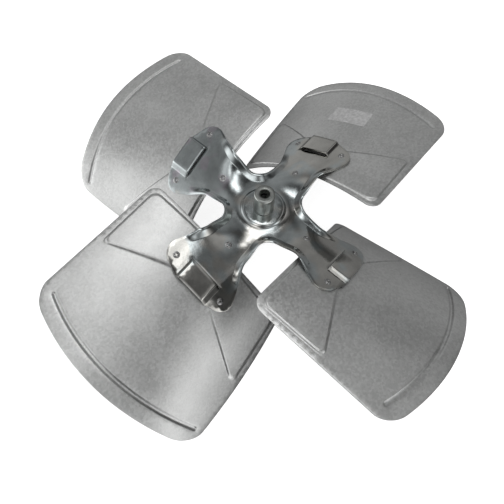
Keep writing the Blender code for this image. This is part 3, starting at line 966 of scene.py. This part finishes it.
    def make(self, material: Material) -> None:
        """Press one blade, copy it round the shaft and dress all four.

        Args:
            material: The blades' finish.
        """
        pattern = SheetPattern()
        outline = self.outline()
        mouth = self.panel_mouth
        pattern.line(outline, [(1.0 if abs(y) < mouth and x < FORM.mid_x else 0.0, 0.0) for x, y in outline], True)
        for row in self.wall_rows:
            pattern.line(self.panel_line(row)[1:-1], (float(smooth((row + 1.0) / 2.0)), 0.0))
        bed = self.groove_loop(0.0)
        pattern.line(bed[:len(bed) // 2 - 2], (0.0, -self.groove_depth))
        for reach, share in self.groove_profile:
            loop = self.groove_loop(reach * (self.groove_width / 2))
            pattern.line(loop, (0.0, -share * self.groove_depth), True)
        top = self.panel_line(1.0)

        def value_at(spots: Array) -> Array:
            """Say which spots lie on the raised panel."""
            raised = inside(spots, top) | ((np.abs(spots[:, 1]) < mouth) & (spots[:, 0] < self.panel_root_x))
            return np.column_stack((raised.astype(float), np.zeros(len(spots))))

        pattern.fill(outline, self.spacing, value_at)
        first = pattern.press("pressed_blade_1", self.height, FORM.blade_sheet, self.edge)
        sheets = [first] + [copy_of(first, f"pressed_blade_{i + 1}", wing_turn(i)) for i in range(1, WINGS)]
        for i, sheet in enumerate(sheets):
            dress(sheet, material, f"blade_{i + 1}")


@dataclass
class Spider:
    """The stamped carrier: four twisted arms with pads, lipped cutouts, raised bridges and a boss."""

    pad_tip_x: float = 0.1376
    pad_high_ear: Point = (0.1245, -0.0512)
    pad_low_ear: Point = (0.1265, 0.0535)
    pad_ear_radius: float = 0.018
    neck_half_width: float = 0.029
    neck_end_x: float = 0.0725
    neck_radius: float = 0.022
    cutout_radius: float = 0.0180
    hole_radius: float = 0.0098
    boss_rise: float = 0.0040
    boss_top_radius: float = 0.0250
    boss_sides: int = 72
    boss_profile: tuple[Point, ...] = (
        (0.0242, 0.00400), (0.0249, 0.00384), (0.0256, 0.00340), (0.0266, 0.00250), (0.0275, 0.00168),
        (0.0284, 0.00114), (0.0296, 0.00078), (0.0311, 0.00045), (0.0326, 0.00019), (0.0344, 0.0))
    lip_bend: float = 0.0030
    lip_angle: float = radians(36.0)
    lip_straight: float = 0.0060
    lip_straight_rows: Floats = (0.33, 0.67, 1.0)
    lip_roll: float = 0.0030
    lip_roll_angle: float = radians(62.0)
    lip_steps: int = 6
    lip_fade_x: Point = (0.075, 0.098)
    lip_clear: float = 0.9
    bridge_x: float = 0.1112
    bridge_y: Point = (-0.0165, 0.0255)
    bridge_rise: float = 0.0048
    bridge_slope: float = 0.0039
    bridge_bend: float = 0.0008
    bridge_slot: float = 0.0016
    bridge_rows: Floats = (0.14, 0.28, 0.43, 0.57, 0.72, 0.86)
    bridge_strips: int = 8
    step: float = 0.0032
    spacing: float = 0.0040
    edge: float = 0.0004
    arc_step: float = radians(7.0)

    def stations(self) -> list[float]:
        """Positions across the pad of the lines along a bridge's bends.

        Returns:
            The positions, from the high side to the low side.
        """
        low, high = self.bridge_y
        bend = self.bridge_bend
        near = [-bend, -bend / 3, bend / 3, bend]
        low_side = [low + d for d in near] + [low + self.bridge_slope + d for d in near]
        high_side = [low + high - y for y in reversed(low_side)]
        strips = self.bridge_strips
        return low_side + [mix(low_side[-1], high_side[0], i / strips) for i in range(1, strips)] + high_side

    def rise_at(self, y: float) -> float:
        """Height of a bridge above its pad, with rounded bends.

        Args:
            y: Distance across the arm.

        Returns:
            The height.
        """
        low, high = self.bridge_y
        into = min(y - low, high - y) / self.bridge_slope
        bend = self.bridge_bend / self.bridge_slope

        def eased(u: float) -> float:
            """A ramp from 0 that bends in gently round u = 0.

            Args:
                u: Distance up the slope, as a share of it.

            Returns:
                The height, as a share of the rise.
            """
            if u <= -bend:
                return 0.0
            return (u + bend) ** 2 / (4 * bend) if u < bend else u

        return self.bridge_rise * (eased(into) - eased(into - 1.0))

    def outline(self) -> list[Point]:
        """The spider's plan outline, from four like arms.

        Returns:
            The plan points of the outline.
        """
        arm = [
            (self.neck_end_x, -self.neck_half_width, self.neck_radius),
            (*self.pad_high_ear, self.pad_ear_radius),
            *[(self.pad_tip_x, y, 0.0) for y in self.stations()],
            (*self.pad_low_ear, self.pad_ear_radius),
            (self.neck_end_x, self.neck_half_width, self.neck_radius),
            (self.neck_half_width, self.neck_half_width, self.cutout_radius),
        ]
        corners = []
        for wing in range(WINGS):
            spots = turned([corner[:2] for corner in arm], wing)
            corners += [(*spot, corner[2]) for spot, corner in zip(spots, arm)]
        return traced(corners, True, self.arc_step, self.step)

    def to_arm(self, x: Array, y: Array) -> tuple[Array, Array]:
        """Give rotor plan points in the frame of their nearest arm."""
        angle = np.round(np.arctan2(y, x) / WING_ANGLE) * WING_ANGLE
        return x * np.cos(angle) + y * np.sin(angle), y * np.cos(angle) - x * np.sin(angle)

    def lip_rows(self) -> list[Point]:
        """Rows of the turned-up lip and its rolled edge.

        Returns:
            The rows as (distance in from the edge, height).
        """
        steps, top = self.lip_steps, self.lip_angle
        bend, straight, roll = self.lip_bend, self.lip_straight, self.lip_roll
        angles = [top * i / steps for i in range(steps + 1)]
        rows = [(bend * sin(a), bend * (1.0 - cos(a))) for a in angles]
        out, up = rows[-1]
        rows += [(out + share * straight * cos(top), up + share * straight * sin(top))
                 for share in self.lip_straight_rows]
        out, up = rows[-1]
        angles = [top - self.lip_roll_angle * i / steps for i in range(1, steps + 1)]
        rows += [(out + roll * (sin(top) - sin(a)), up + roll * (cos(a) - cos(top)))
                 for a in angles]
        return [(rows[-1][0] - out, up) for out, up in rows]

    def add_lips(self, pattern: SheetPattern, outline: Sequence[Point]) -> None:
        """Add the outline and, inside it, the rows of the turned-up lips.

        Args:
            pattern: The pattern to add to.
            outline: The spider's outline.
        """
        plan = np.array(outline)
        arm_x, arm_y = self.to_arm(plan[:, 0], plan[:, 1])
        shares = 1.0 - ramp(arm_x, self.lip_fade_x)
        shares[(arm_x > self.lip_fade_x[1]) | (np.abs(arm_y) < self.neck_half_width * self.lip_clear)] = 0.0
        rows = self.lip_rows()
        rises = [self.rise_at(v) if u > self.pad_tip_x - GAP else rows[-1][1] * s
                 for u, v, s in zip(arm_x, arm_y, shares)]
        pattern.line(outline, [(rise,) for rise in rises], True)
        along = np.roll(plan, -1, axis=0) - np.roll(plan, 1, axis=0)
        along /= np.hypot(*along.T)[:, None]
        inward = np.column_stack((-along[:, 1], along[:, 0]))
        count = len(outline)
        for i in [i for i in range(count) if shares[i] > 0.0 and shares[i - 1] <= 0.0]:
            run = []
            while shares[i % count] > 0.0:
                run.append(i % count)
                i += 1
            for inset, rise in rows[:-1]:
                line = plan[run] + inward[run] * inset
                pattern.line([tuple(p) for p in line], [(rise * shares[k],) for k in run])

    def add_bridge(self, pattern: SheetPattern, wing: int) -> None:
        """Add the slot along a bridge's inner side, and the lines across the bridge.

        Args:
            pattern: The pattern to add to.
            wing: The wing whose bridge it is.
        """
        stations = self.stations()
        rises = [(self.rise_at(y),) for y in stations]
        strap = [(self.bridge_x, y) for y in stations]
        pad = [(self.bridge_x - self.bridge_slot, y) for y in reversed(stations)]
        pattern.hole(turned(strap + pad, wing), rises + [(0.0,)] * len(stations))
        across = [mix(self.bridge_x, self.pad_tip_x, t) for t in self.bridge_rows]
        for y, rise in zip(stations, rises):
            pattern.line(turned([(x, y) for x in across], wing), rise)

    def height(self, x: Array, y: Array, values: Array) -> Array:
        """Height of spider points from their form and the feature's own rise, square to the sheet."""
        arm_x, arm_y = self.to_arm(x, y)
        return FORM.arm(arm_x, arm_y) + values[:, 0] * FORM.lean(FORM.arm, arm_x, arm_y)

    def make(self, material: Material) -> None:
        """Press the spider and dress it.

        Args:
            material: The spider's finish.
        """
        pattern = SheetPattern()
        outline = self.outline()
        self.add_lips(pattern, outline)
        pattern.hole(circle(self.hole_radius, self.boss_sides), (self.boss_rise,))
        for radius, rise in self.boss_profile:
            pattern.line(circle(radius, self.boss_sides), (rise,), True)
        for wing in range(WINGS):
            self.add_bridge(pattern, wing)

        def value_at(spots: Array) -> Array:
            """Give the rise of the boss or of a bridge at each spot.

            Args:
                spots: The plan points, one a row.

            Returns:
                The rises, one a row.
            """
            on_boss = np.hypot(*spots.T) < self.boss_top_radius
            arm_x, arm_y = self.to_arm(spots[:, 0], spots[:, 1])
            on_bridge = (arm_x >= self.bridge_x) & (arm_y > self.bridge_y[0]) & (arm_y < self.bridge_y[1])
            rise = np.array([self.rise_at(v) if b else 0.0 for v, b in zip(arm_y, on_bridge)])
            return (on_boss * self.boss_rise + rise)[:, None]

        pattern.fill(outline, self.spacing, value_at, WINGS)
        spider = pattern.press("pressed_spider", self.height, FORM.spider_sheet, self.edge)
        dress(spider, material, "spider")


@dataclass
class Rivets:
    """Semi-tubular rivets: a rolled clinch over the pad, and a low head under the blade."""

    places: tuple[tuple[str, float, float], ...] = (
        ("high", 0.1200, -0.0318), ("low", 0.1210, 0.0350), ("inner", 0.0670, 0.0010))
    head_radius: float = 0.0029
    head_heights: Point = (0.0010, 0.0008)
    head_steps: tuple[Point, ...] = ((0.45, 1.0), (0.35, 0.84), (0.20, 0.72))
    shank_radius: float = 0.0020
    mouth_radius: float = 0.0029 * 0.84 * 0.72
    hollow_radius: float = 0.0012
    hollow_depth: float = 0.0014
    sides: int = 28
    edge: float = 0.00025
    edge_angle: float = 35.0

    def model(self) -> Piece:
        """Model one rivet about its own +Z, with the arm's middle at zero.

        Returns:
            The rivet's object.
        """
        top = FORM.spider_sheet / 2 + GAP / 2
        bottom = -FORM.spider_sheet / 2 - 2 * GAP - FORM.blade_sheet
        rivet = cylinder("rivet_model", self.sides, self.shank_radius, bottom, top)
        bpy.ops.object.mode_set(mode="EDIT")
        spread = self.head_radius / self.shank_radius
        for end, height in zip(Rim, self.head_heights):
            pick(rivet, Pick.FACE, lambda face: face.normal.z * end.value > LEVEL_FACE)
            for rise, scale in ((0.0, spread), *self.head_steps):
                move = {"value": (0.0, 0.0, end.value * height * rise)}
                bpy.ops.mesh.extrude_region_move(TRANSFORM_OT_translate=move)
                bpy.ops.transform.resize(value=(scale, scale, 1.0))
            if end is Rim.TOP:
                bpy.ops.mesh.inset(thickness=self.mouth_radius - self.hollow_radius)
                bpy.ops.transform.translate(value=(0.0, 0.0, -self.hollow_depth))
        soften(rivet, self.edge, self.edge_angle)
        shade(rivet, SHARP_ANGLE)
        return rivet

    def make(self, material: Material) -> None:
        """Model one rivet, copy it to every place and dress all of them.

        Args:
            material: The rivets' finish.
        """
        model = self.model()
        lift = Matrix.Translation((0.0, 0.0, ROTOR_Z))
        for wing in range(WINGS):
            for spot, x, y in self.places:
                place = lift @ wing_turn(wing) @ FORM.place(FORM.arm, x, y)
                rivet = copy_of(model, f"clinched_rivet_{wing + 1}_{spot}", place)
                dress(rivet, material, f"rivet_{wing + 1}_{spot}")
        bpy.data.objects.remove(model)


@dataclass
class Hub:
    """The turned hub: a bored barrel on the boss, a spigot through it and a staked collar under it."""

    radius: float = 0.0127
    height: float = 0.03175
    bore_radius: float = 0.00635
    spigot_radius: float = 0.0095
    stake_radius: float = 0.0120
    stake_thickness: float = 0.0026
    chamfer: float = 0.0016
    foot_chamfer: float = 0.0004
    bore_chamfer: float = 0.0006
    sides: int = 96
    boss_z: float = FORM.centre_z + 0.0040
    screw_radius: float = 0.0038
    screw_azimuth: float = radians(45.0)
    screw_above_boss: float = 0.0180
    screw_sides: int = 36
    screw_edge: float = 0.0003
    screw_hole_sides: int = 48
    socket_radius: float = 0.0020
    socket_depth: float = 0.0030

    @property
    def seat(self) -> float:
        """Height of the barrel's foot above the blade's middle."""
        return self.boss_z + FORM.spider_sheet / 2 + GAP

    def bored(self, name: str, radius: float, low: float, high: float, rims: Sequence[Floats] = ()) -> Piece:
        """Turn a bored cylinder between two heights, left in edit mode.

        Args:
            name: The piece's name.
            radius: Its outside radius.
            low: The height of its lower face.
            high: The height of its upper face.
            rims: The rims to bevel, each as (radius, height, width, facets).

        Returns:
            The bored cylinder.
        """
        piece = cylinder(name, self.sides, radius, low, high)
        bpy.ops.object.mode_set(mode="EDIT")
        pick(piece, Pick.FACE, lambda face: abs(face.normal.z) > LEVEL_FACE)
        bpy.ops.mesh.inset(thickness=radius - self.bore_radius, use_individual=True)
        bpy.ops.mesh.bridge_edge_loops()
        for rim, z, width, facets in rims:
            pick(piece, Pick.EDGE, lambda edge: all(
                abs(v.co.xy.length - rim) < NEAR and abs(v.co.z - z) < NEAR for v in edge.verts))
            bpy.ops.mesh.bevel(offset=width, segments=facets, affect="EDGES")
        return piece

    def screw_place(self, radius: float) -> Matrix:
        """Placement across the barrel's wall at the screw, with +Z outwards.

        Args:
            radius: Distance from the shaft.

        Returns:
            The placement.
        """
        outwards = Vector((cos(self.screw_azimuth), sin(self.screw_azimuth), 0.0))
        height = ROTOR_Z + self.seat + self.screw_above_boss
        return Matrix.Translation(outwards * radius + Vector((0.0, 0.0, height))) @ facing(outwards)

    def make_screw(self) -> Piece:
        """Model the socket set screw in the barrel's wall.

        Returns:
            The set screw.
        """
        inner = self.bore_radius + GAP
        outer = self.radius - GAP
        half = (outer - inner) / 2
        screw = cylinder("socket_set_screw", self.screw_sides, self.screw_radius, -half, half)
        carve(screw, cylinder("hex_socket", 6, self.socket_radius, half - self.socket_depth,
                              half + self.socket_depth))
        soften(screw, self.screw_edge)
        screw.data.transform(self.screw_place((inner + outer) / 2))
        return screw

    def make(self, turned_steel: Material, black_steel: Material) -> None:
        """Make and dress the barrel with its screw hole, the collar, the spigot and the set screw.

        Args:
            turned_steel: The finish of the barrel, the collar and the spigot.
            black_steel: The set screw's finish.
        """
        foot = ROTOR_Z + self.seat
        top = foot + self.height
        below = ROTOR_Z + self.boss_z - FORM.spider_sheet / 2 - GAP
        bottom = below - self.stake_thickness
        barrel = self.bored("turned_barrel", self.radius, foot, top, (
            (self.radius, top, self.chamfer, 3), (self.radius, foot, self.foot_chamfer, 2),
            (self.bore_radius, top, self.bore_chamfer, 2)))
        reach = self.radius * 0.75
        cutter = cylinder("screw_hole", self.screw_hole_sides, self.screw_radius + GAP, -reach, reach)
        cutter.matrix_world = self.screw_place(reach)
        carve(barrel, cutter)
        collar = self.bored("staked_collar", self.stake_radius, bottom, below, (
            (self.stake_radius, bottom, self.stake_thickness / 2, 5),
            (self.bore_radius, bottom, self.bore_chamfer, 2)))
        spigot = self.bored("hub_spigot", self.spigot_radius, below, foot)
        for piece in (barrel, collar, spigot):
            shade(piece)
            dress(piece, turned_steel, "hub")
        screw = self.make_screw()
        shade(screw)
        dress(screw, black_steel, "set_screw")


@dataclass
class Label:
    """The bare label on the first blade."""

    centre: Point = (0.2019, 0.0049)
    size: Point = (0.0540, 0.0300)
    turn: float = radians(95.0)
    thickness: float = 0.00012
    grid: tuple[int, int] = (28, 16)

    def make(self, material: Material) -> None:
        """Lay the label on the blade's surface and dress it.

        Args:
            material: The label's finish.
        """
        clear_bench()
        bpy.ops.mesh.primitive_grid_add(x_subdivisions=self.grid[0], y_subdivisions=self.grid[1], size=1.0)
        label = bpy.context.object
        label.name = label.data.name = "bare_label"
        turn = Matrix.Rotation(self.turn, 2)
        lift = FORM.blade_sheet / 2 + self.thickness
        for vertex in label.data.vertices:
            x, y = Vector(self.centre) + turn @ Vector((vertex.co.x * self.size[0], vertex.co.y * self.size[1]))
            rise = float(FORM.blade(x, y) + lift * FORM.lean(FORM.blade, x, y))
            vertex.co = (x, y, ROTOR_Z + rise)
        modify(label, "SOLIDIFY", thickness=self.thickness, offset=-1.0)
        shade(label)
        dress(label, material)


# Studio

@dataclass
class Studio:
    """Camera, floor, lights and surroundings.

    Each glow is soft and round. The glows alone light the part, and the camera sees a plain backdrop in their
    place. A glow is its azimuth from the camera's right and its elevation from the level, in degrees, then its
    sharpness and strength. Their strengths were fitted to one view, the photograph's.
    """

    focal_pixels: float = 469.4
    elevation: float = radians(62.27)
    roll: float = radians(3.82)
    azimuth: float = radians(52.99)
    distance: float = 2.171 * FORM.fan_radius
    shaft_pixel: float = 262.5
    axis_pixel: Point = (252.0, 215.0)
    plane_above_rotor: float = -0.0129
    sensor: float = 36.0
    clip: Point = (0.01, 50.0)
    backdrop: float = 0.98
    floor_size: float = 14.0
    floor_z: float = -0.0008
    floor_level: float = 0.90
    floor_glow: float = 0.80
    glows: tuple[tuple[float, float, float, float], ...] = (
        (0, 80, 150, 4.50), (60, 80, 150, 3.02), (120, 80, 150, 4.32), (240, 80, 150, 1.82), (250, 76, 300, 2.00),
        (90, 72, 300, 6.00), (342, 68, 300, 4.57), (90, 66, 80, 0.35), (210, 66, 80, 1.50), (0, 48, 40, 0.67),
        (30, 48, 40, 0.88), (90, 48, 40, 0.38), (120, 48, 40, 0.38), (150, 48, 40, 0.84), (180, 48, 40, 0.49),
        (240, 48, 40, 4.26), (300, 48, 40, 1.76), (60, 25, 20, 0.45), (90, 25, 20, 0.56), (120, 25, 20, 0.32),
        (210, 25, 20, 1.09), (330, 20, 40, 3.20), (345, 5, 40, 0.55), (30, 0, 14, 0.44), (60, 0, 14, 0.20),
        (120, 0, 14, 0.81), (180, 0, 14, 4.05), (210, 0, 14, 1.46), (300, 0, 14, 2.44), (60, -25, 14, 0.30),
        (300, -25, 14, 1.43))

    def camera(self) -> None:
        """Place the camera where the photograph was taken from."""
        aside = (self.shaft_pixel - self.axis_pixel[0]) / self.focal_pixels * self.distance
        data = bpy.data.cameras.new("camera")
        data.sensor_width = self.sensor
        data.lens = self.focal_pixels * self.sensor / IMAGE_SIDE
        middle = IMAGE_SIDE / 2
        data.shift_x = (middle - self.axis_pixel[0]) / IMAGE_SIDE
        data.shift_y = (self.axis_pixel[1] - middle) / IMAGE_SIDE
        data.clip_start, data.clip_end = self.clip
        camera = bpy.data.objects.new("camera", data)
        bpy.context.scene.collection.objects.link(camera)
        camera.matrix_world = (
            Matrix.Translation((0.0, 0.0, ROTOR_Z + self.plane_above_rotor)) @ Matrix.Rotation(-self.azimuth, 4, "Z")
            @ Matrix.Rotation(pi / 2 - self.elevation, 4, "X") @ Matrix.Rotation(self.roll, 4, "Z")
            @ Matrix.Translation((-aside, 0.0, self.distance)))
        bpy.context.scene.camera = camera

    def floor(self) -> None:
        """Lay the pale floor."""
        clear_bench()
        bpy.ops.mesh.primitive_plane_add(size=self.floor_size, location=(0.0, 0.0, self.floor_z))
        floor = bpy.context.object
        floor.name = "floor"
        floor.data.materials.append(MaterialBench("pale_floor").finish(
            Base_Color=grey(self.floor_level), Roughness=0.9, Specular_IOR_Level=0.1,
            Emission_Color=grey(1.0), Emission_Strength=self.floor_glow))
        floor.visible_glossy = floor.visible_diffuse = False

    def surroundings(self) -> None:
        """Light the part by the glows alone, and show the camera a white backdrop."""
        world = bpy.data.worlds.new("studio")
        bpy.context.scene.world = world
        world.use_nodes = True
        world.node_tree.nodes.clear()
        bench = NodeBench(world.node_tree, "Generated")
        total = 0.0
        for azimuth, elevation, sharpness, strength in self.glows:
            around = radians(azimuth) - self.azimuth
            above = radians(elevation)
            towards = (cos(around) * cos(above), sin(around) * cos(above), sin(above))
            near = bench.maths("POWER", bench.maths("MAXIMUM", bench.along(towards), 0.0), sharpness)
            total = bench.maths("MULTIPLY_ADD", near, strength, total)
        lit = bench.add("ShaderNodeBackground", {"Strength": total})
        white = bench.add("ShaderNodeBackground", {"Color": grey(1.0), "Strength": self.backdrop})
        seen = bench.add("ShaderNodeLightPath").outputs["Is Camera Ray"]
        split = bench.add("ShaderNodeMixShader", {0: seen, 1: lit.outputs[0], 2: white.outputs[0]})
        bench.add("ShaderNodeOutputWorld", {"Surface": split.outputs[0]})

    def make(self) -> None:
        """Set up the whole studio."""
        self.camera()
        self.floor()
        self.surroundings()
        bpy.context.scene.view_settings.view_transform = "Standard"
        log.info("studio ready")


def main() -> None:
    """Build every sub-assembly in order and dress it."""
    logging.basicConfig(level=logging.INFO, format="%(name)s: %(message)s")
    Studio().make()
    Blades().make(GalvanisedFinish().make("galvanised_spangle"))
    Spider().make(ZincPlateFinish().make("bright_zinc_plate"))
    Rivets().make(RIVET_STEEL.make("clinched_rivet_steel"))
    Hub().make(TurnedFinish().make("turned_plated_steel"), BLACK_OXIDE.make("black_oxide"))
    Label().make(LABEL_FILM.make("label_film"))


if __name__ == "__main__":
    main()
